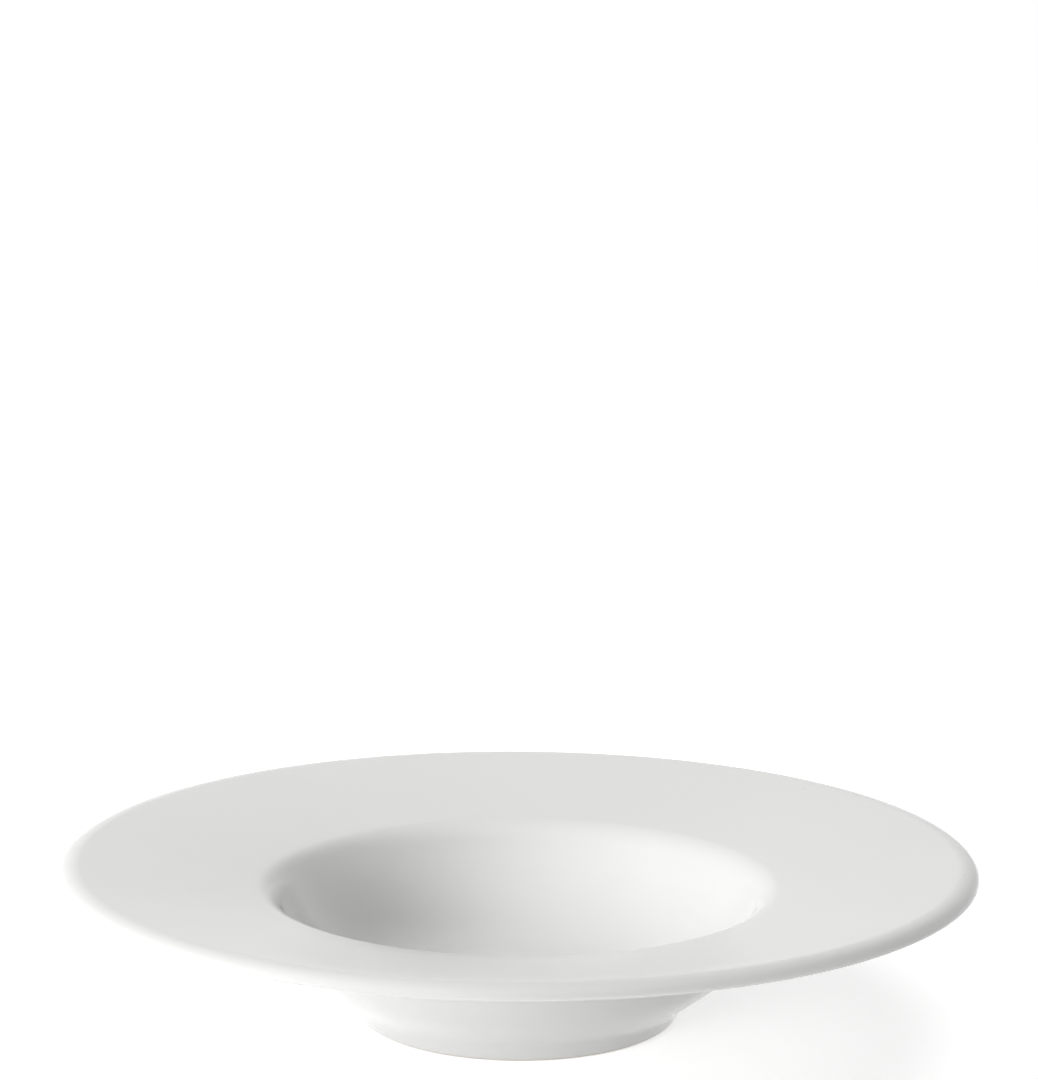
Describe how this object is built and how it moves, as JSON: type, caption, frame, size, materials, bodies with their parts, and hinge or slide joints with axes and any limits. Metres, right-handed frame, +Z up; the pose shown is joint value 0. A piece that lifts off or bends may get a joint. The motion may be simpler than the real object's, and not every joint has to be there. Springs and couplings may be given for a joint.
{
  "type": "wide rim bowl",
  "caption": "Round white porcelain bowl with a broad, gently rising flange round a small deep well, on a low flared foot ring; serves soup, pasta or risotto.",
  "frame": {"origin": "on the table, under the middle of the bowl", "axes": "+Z up along the bowl's turning axis; the bowl is round, so X and Y are any two level directions"},
  "size_m": [0.27, 0.27, 0.049],
  "materials": {
    "bisque": "bare fired porcelain, fine and matt",
    "glaze": "glossy transparent glaze over white porcelain"
  },
  "bodies": {
    "root": {"porcelain_body": "bisque", "glaze_coat": "glaze", "recess_glaze": "glaze"}
  },
  "joints": []
}
